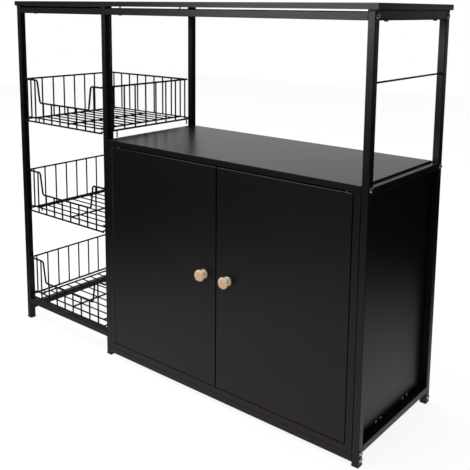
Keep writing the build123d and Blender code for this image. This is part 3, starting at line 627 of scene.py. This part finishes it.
def basket_runners():
    """Runner bars welded to the posts, with their hanging pins, a pair under each basket."""
    low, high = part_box("basket_runners")
    inset = WELD_GAP + RUNNER / 2
    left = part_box("front_left_post")[1].x + inset
    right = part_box("front_middle_post")[0].x - inset
    front_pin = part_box("front_left_post")[0].y + FRONT_PIN_AT
    back_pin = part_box("back_left_post")[1].y - BACK_PIN_AT
    wires = []
    for basket in BASKETS:
        z = floor_height(basket) - FLOOR_WIRE / 2 - RUN_GAP - RUNNER / 2
        for x in (left, right):
            wires += [
                straight((x, low.y, z), (x, high.y, z), RUNNER),
                straight((x, front_pin, z), (x, front_pin, z - FRONT_PIN_DROP), STOP_PIN),
                straight((x, back_pin, z), (x, back_pin, z - BACK_PIN_DROP), STOP_PIN),
            ]
    data = round_wires("runner_bars", wires)
    add_piece("runner_bars", data, "frame", "coated_wire", "basket_runners")


def hanging_rod():
    """Thin round rod across the right side, above the worktop."""
    low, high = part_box("hanging_rod")
    centre = middle("hanging_rod")
    rod = straight((centre.x, low.y, centre.z), (centre.x, high.y, centre.z), HANGING_ROD)
    data = round_wires("round_hanging_rod", [rod])
    add_piece("round_hanging_rod", data, "frame", "black_steel", "hanging_rod")


def finished_mesh(name, mesh, crisp_degrees):
    """Turns a bmesh into mesh data with smooth faces and crisp real edges."""
    bmesh.ops.recalc_face_normals(mesh, faces=mesh.faces)
    for face in mesh.faces:
        face.smooth = True
    data = bpy.data.meshes.new(name)
    mesh.to_mesh(data)
    mesh.free()
    data.set_sharp_from_angle(angle=math.radians(crisp_degrees))
    return data


def tube_bar(mesh, low, high):
    """Adds a square bar along Y with rounded long edges, between two corners."""
    size = high - low
    place = Matrix.Translation((low + high) / 2) @ Matrix.Diagonal((*size, 1.0))
    verts = bmesh.ops.create_cube(mesh, size=1.0, matrix=place)["verts"]
    edges = dict.fromkeys(edge for vert in verts for edge in vert.link_edges)
    long_edges = [edge for edge in edges if edge.calc_length() > size.y / 2]
    bmesh.ops.bevel(
        mesh, geom=long_edges, affect="EDGES",
        offset=TUBE_ROUND, segments=TUBE_ROUND_STEPS, profile=ROUND_PROFILE,
    )


def top_side_rails():
    """Side rails under the top board; the photograph shows the outer two touching it."""
    low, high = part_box("top_side_rails")
    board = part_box("top_board")[0].z - BOARD_TOUCH
    mesh = bmesh.new()
    for side, top in (("left", board), ("middle", high.z), ("right", board)):
        post_low, post_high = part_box(f"front_{side}_post")
        tube_bar(mesh, Vector((post_low.x, low.y, low.z)), Vector((post_high.x, high.y, top)))
    data = finished_mesh("top_side_rail_tubes", mesh, TUBE_CRISP)
    add_piece("top_side_rail_tubes", data, "frame", "black_steel", "top_side_rails")


def ring_shape(kind, angle):
    """How far out a ring's outline lies at an angle, as a share of its radius."""
    if kind == "hexagon":
        return math.cos(math.pi / 6) / math.cos((angle + math.pi / 6) % (math.pi / 3) - math.pi / 6)
    if kind == "cross":
        return CROSS_WAIST + (1 - CROSS_WAIST) * math.cos(2 * angle) ** CROSS_SHARPNESS
    return 1.0


def turn_on_lathe(mesh, outline, segments, place):
    """Adds a turned solid; the outline holds (radius, height, ring kind) in millimetres."""
    rings = []
    for radius, height, kind in outline:
        if radius == 0:
            rings.append([mesh.verts.new(place @ Vector((0, 0, height)))])
            continue
        ring = []
        for i in range(segments):
            angle = 2 * math.pi * i / segments
            reach = radius * ring_shape(kind, angle)
            spot = Vector((reach * math.cos(angle), reach * math.sin(angle), height))
            ring.append(mesh.verts.new(place @ spot))
        rings.append(ring)
    for lower, upper in zip(rings, rings[1:]):
        for i in range(segments):
            j = (i + 1) % segments
            corners = [lower[i % len(lower)], lower[j % len(lower)]]
            corners += [upper[j % len(upper)], upper[i % len(upper)]]
            mesh.faces.new(list(dict.fromkeys(corners)))


def seat(place, outward):
    """Matrix that puts a turned piece, in millimetres, with +Z outwards from its seat."""
    turn = Vector(outward).to_track_quat("Z", "Y").to_matrix().to_4x4()
    return Matrix.Translation(place) @ turn @ Matrix.Scale(MM, 4)


def knob_outline():
    """Foot, waist and head of a turned knob: a smooth curve through the outline's points."""
    points = [Vector(point) for point in KNOB_OUTLINE]
    padded = [points[0], *points, points[-1]]
    outline = [(0, 0, "round")]
    for a, b, c, d in zip(padded, padded[1:], padded[2:], padded[3:]):
        for i in range(KNOB_STEPS):
            t = i / KNOB_STEPS
            bend = 2 * a - 5 * b + 4 * c - d
            twist = 3 * b - a - 3 * c + d
            spot = b + ((c - a) * t + bend * t**2 + twist * t**3) / 2
            outline.append((spot.x, spot.y, "round"))
    tip_radius, reach = KNOB_OUTLINE[-1]
    return outline + [(tip_radius, reach, "round"), (0, reach, "round")]


def knobs():
    """A turned knob on each door."""
    for side in ("left", "right"):
        node = side + "_knob"
        centre = middle(node)
        foot = (centre.x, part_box(node)[1].y, centre.z)
        mesh = bmesh.new()
        turn_on_lathe(mesh, knob_outline(), KNOB_SEGMENTS, seat(foot, (0, -1, 0)))
        data = finished_mesh("turned_" + node, mesh, KNOB_CRISP)
        add_piece("turned_" + node, data, side + "_door", "beech", node)


def bolt_outline():
    """Button head with a hexagon socket, seat at height 0, thread below."""
    edge, shank = BOLT_HEAD / 2, BOLT_SHANK / 2
    key = BOLT_KEY / 2 / math.cos(math.pi / 6)
    outline = [
        (0, -BOLT_LENGTH, "round"),
        (shank - BOLT_TIP_BEVEL, -BOLT_LENGTH, "round"),
        (shank, BOLT_TIP_BEVEL - BOLT_LENGTH, "round"),
        (shank, 0, "round"),
        (edge - BOLT_LIP, 0, "round"),
        (edge, BOLT_LIP, "round"),
    ]
    for step in range(1, BOLT_DOME_STEPS):
        angle = math.pi / 2 * step / BOLT_DOME_STEPS
        reach = edge - (edge - BOLT_RIM) * (1 - math.cos(angle))
        height = BOLT_LIP + (BOLT_HEAD_HEIGHT - BOLT_LIP) * math.sin(angle)
        outline.append((reach, height, "round"))
    outline += [(BOLT_RIM, BOLT_HEAD_HEIGHT, "round"), (key, BOLT_HEAD_HEIGHT, "hexagon")]
    return outline + [(key, BOLT_KEY_FLOOR, "hexagon"), (0, BOLT_KEY_TIP, "round")]


def screw_outline(head, head_height, length):
    """Pan head with a cross recess, seat at height 0, thread below."""
    edge, shank = head / 2, SCREW_SHANK / 2
    outline = [(0, -length, "round"), (shank, shank - length, "round"), (shank, 0, "round")]
    outline.append((edge - SCREW_HEAD_BEVEL, 0, "round"))
    return outline + [(edge * out, head_height * up, kind) for out, up, kind in PAN_HEAD]


def fasteners(name, turned, body, node):
    """One piece made of turned fasteners; each is its outline and its seat."""
    mesh = bmesh.new()
    for outline, place in turned:
        turn_on_lathe(mesh, outline, FASTENER_SEGMENTS, place)
    add_piece(name, finished_mesh(name, mesh, FASTENER_CRISP), body, "zinc_steel", node)


def frame_bolts():
    """Bolts on the posts' outer faces, level with the rails and boards that they hold."""
    top = middle("front_top_rail_cupboard_bay").z
    low = middle("front_lower_rail_cupboard_bay").z
    basket = middle("front_lower_rail_basket_bay").z
    fronts = (top, middle("worktop").z, middle("cupboard_floor").z, low)
    backs = (top, middle("worktop_back_rail").z, low)
    outline = bolt_outline()
    turned = []
    for side, outward in (("left", -1), ("middle", -1), ("right", 1)):
        for row, cupboard_heights in (("front", fronts), ("back", backs)):
            lowest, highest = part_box(f"{row}_{side}_post")
            x = highest.x if outward > 0 else lowest.x
            y = (lowest.y + highest.y) / 2
            heights = (top, basket) if side == "left" else cupboard_heights
            turned += [(outline, seat((x, y, z), (outward, 0, 0))) for z in heights]
    fasteners("button_head_bolts", turned, "frame", "frame_bolts")


def top_screws():
    """Screws up through the top side rails into the top board."""
    low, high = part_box("top_screws")
    head, head_height, _ = TOP_SCREW
    z = low.z + head_height * MM
    outline = screw_outline(*TOP_SCREW)
    turned = []
    for side in ("left", "middle", "right"):
        x = middle(f"front_{side}_post").x
        for y in (low.y + head / 2 * MM, high.y - head / 2 * MM):
            turned.append((outline, seat((x, y, z), (0, 0, -1))))
    fasteners("top_board_screws", turned, "frame", "top_screws")


def panel_screws():
    """Screws through the side panels and down through the angle brackets."""
    low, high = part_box("corner_brackets")
    rows = (low.y + BRACKET_HALF, high.y - BRACKET_HALF)
    side_outline, floor_outline = screw_outline(*PANEL_SCREW), screw_outline(*FLOOR_SCREW)
    turned = []
    for side, outward in (("left", -1), ("right", 1)):
        panel_low, panel_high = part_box(side + "_side_panel")
        face = panel_high.x if outward > 0 else panel_low.x
        inner = high.x - BRACKET_REACH if outward > 0 else low.x + BRACKET_REACH
        for y in rows:
            for step in (-PANEL_SCREW_STEP, PANEL_SCREW_STEP):
                place = (face, y + step, low.z + PANEL_SCREW_HEIGHT)
                turned.append((side_outline, seat(place, (outward, 0, 0))))
            place = (inner, y, low.z + BRACKET_THICKNESS)
            turned.append((floor_outline, seat(place, (0, 0, 1))))
    fasteners("panel_screws_pan_head", turned, "frame", "panel_screws")


def knob_screws():
    """Screws from the back of the doors into the knobs."""
    for side in ("left", "right"):
        node = side + "_knob_screw"
        centre = middle(node)
        place = (centre.x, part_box(side + "_door")[1].y, centre.z)
        turned = [(screw_outline(*KNOB_SCREW), seat(place, (0, 1, 0)))]
        fasteners(node + "_pan_head", turned, side + "_door", node)


def studio_world():
    """White background for the camera, a backdrop in reflections, and soft light from all round."""
    world = bpy.data.worlds.new("studio")
    bpy.context.scene.world = world
    world.use_nodes = True
    tree = world.node_tree
    tree.nodes.clear()
    # Reflections see the lit backdrop behind to the left, and a dimmer room elsewhere.
    direction = add(tree, "ShaderNodeTexCoord").outputs["Generated"]
    towards = add(
        tree, "ShaderNodeVectorMath", {0: direction, 1: BACKDROP_SIDE}, operation="DOT_PRODUCT"
    ).outputs["Value"]
    share = add(
        tree, "ShaderNodeMapRange",
        {"Value": towards, "From Min": BACKDROP_START, "From Max": BACKDROP_FULL},
    )
    # It is lit near the horizon only.
    height = add(tree, "ShaderNodeSeparateXYZ", {"Vector": direction}).outputs["Z"]
    low_share = add(
        tree, "ShaderNodeMapRange",
        {
            "Value": height, "From Min": BACKDROP_FADE, "From Max": BACKDROP_END,
            "To Min": 1.0, "To Max": 0.0,
        },
    )
    share = add(tree, "ShaderNodeMath", {0: share, 1: low_share}, operation="MULTIPLY")
    room = add(
        tree, "ShaderNodeMix",
        {FACTOR: share, FIRST: linear("#464646"), SECOND: linear("#ffffff")}, data_type="RGBA",
    ).outputs[MIXED]
    ray = add(tree, "ShaderNodeLightPath").outputs
    colour = add(
        tree, "ShaderNodeMix",
        {FACTOR: ray["Is Glossy Ray"], FIRST: linear("#ffffff"), SECOND: room}, data_type="RGBA",
    ).outputs[MIXED]
    seen = add(tree, "ShaderNodeBackground", {"Color": colour, "Strength": 1.0})
    soft = add(tree, "ShaderNodeBackground", {"Color": linear("#ffffff"), "Strength": ROOM_LIGHT})
    looks = add(
        tree, "ShaderNodeMath",
        {0: ray["Is Camera Ray"], 1: ray["Is Glossy Ray"]}, operation="MAXIMUM",
    )
    looks = add(
        tree, "ShaderNodeMath", {0: looks, 1: ray["Is Transmission Ray"]}, operation="MAXIMUM"
    )
    mixed = add(tree, "ShaderNodeMixShader", {0: looks, 1: soft, 2: seen})
    add(tree, "ShaderNodeOutputWorld", {"Surface": mixed})


def white_paper():
    """Matt white paper: bright to the camera, which still sees a faint shadow on it.

    In reflections it is a pool of light round the cabinet.
    """
    material, tree = new_finish("matt_white_paper")
    place = add(tree, "ShaderNodeTexCoord").outputs["Object"]
    distance = add(
        tree, "ShaderNodeVectorMath", {0: place, 1: POOL_CENTRE}, operation="DISTANCE"
    ).outputs["Value"]
    pool = add(
        tree, "ShaderNodeMapRange",
        {
            "Value": distance, "From Min": POOL_FADE, "From Max": POOL_END,
            "To Min": POOL_LIGHT, "To Max": 0.0,
        },
        interpolation_type="SMOOTHSTEP",
    )
    ray = add(tree, "ShaderNodeLightPath").outputs
    glow_share = add(
        tree, "ShaderNodeMix",
        {FACTOR: ray["Is Glossy Ray"], FIRST_NUMBER: PAPER_GLOW, SECOND_NUMBER: pool},
        data_type="FLOAT",
    )
    glow = add(
        tree, "ShaderNodeEmission", {"Color": linear("#ffffff"), "Strength": glow_share}
    )
    paper = add(tree, "ShaderNodeBsdfDiffuse", {"Color": linear("#f2f2f2")})
    camera_share = add(
        tree, "ShaderNodeMath",
        {0: ray["Is Camera Ray"], 1: PAPER_GLOW_SHARE}, operation="MULTIPLY",
    )
    share = add(
        tree, "ShaderNodeMath", {0: camera_share, 1: ray["Is Glossy Ray"]}, operation="MAXIMUM"
    )
    mixed = add(tree, "ShaderNodeMixShader", {0: share, 1: paper, 2: glow})
    add(tree, "ShaderNodeOutputMaterial", {"Surface": mixed})
    return material


def studio_floor():
    """A sheet of paper, far larger than what the camera sees of it."""
    data = bpy.data.meshes.new("studio_floor")
    half = FLOOR_HALF
    corners = [(-half, -half, 0), (half, -half, 0), (half, half, 0), (-half, half, 0)]
    data.from_pydata(corners, [], [(0, 1, 2, 3)])
    data.materials.append(white_paper())
    floor = bpy.data.objects.new("studio_floor", data)
    bpy.context.scene.collection.objects.link(floor)


def soft_box(name, place, target, width, height, watts):
    """A rectangular soft light that faces its target."""
    lamp = bpy.data.lights.new(name, "AREA")
    lamp.shape = "RECTANGLE"
    lamp.size = width
    lamp.size_y = height
    lamp.energy = watts
    holder = bpy.data.objects.new(name, lamp)
    bpy.context.scene.collection.objects.link(holder)
    holder.location = place
    holder.rotation_mode = "QUATERNION"
    holder.rotation_quaternion = (Vector(target) - Vector(place)).to_track_quat("-Z", "Y")


def studio_lamps():
    """Broad light from above, and a low one that models the doors."""
    soft_box("overhead_soft_box", *OVERHEAD_BOX)
    soft_box("front_left_soft_box", *FRONT_LEFT_BOX)


def photograph_camera():
    """The camera at the photograph's place, turn and lens."""
    camera = bpy.data.cameras.new("photograph_camera")
    camera.sensor_width = CAMERA_SENSOR
    camera.lens = CAMERA_LENS
    camera.shift_x, camera.shift_y = CAMERA_SHIFT
    holder = bpy.data.objects.new("photograph_camera", camera)
    bpy.context.scene.collection.objects.link(holder)
    turn = Matrix.Rotation(CAMERA_TURN, 4, "Z") @ Matrix.Rotation(math.pi / 2 + CAMERA_TILT, 4, "X")
    roll = Matrix.Rotation(CAMERA_ROLL, 4, "Z")
    holder.matrix_world = Matrix.Translation(CAMERA_PLACE) @ turn @ roll
    bpy.context.scene.camera = holder


bpy.context.scene.view_settings.view_transform = "Standard"
paint_cad_nodes()
for basket_name in BASKETS:
    Basket(basket_name).build()
basket_runners()
hanging_rod()
top_side_rails()
knobs()
frame_bolts()
top_screws()
panel_screws()
knob_screws()
studio_world()
studio_floor()
studio_lamps()
photograph_camera()
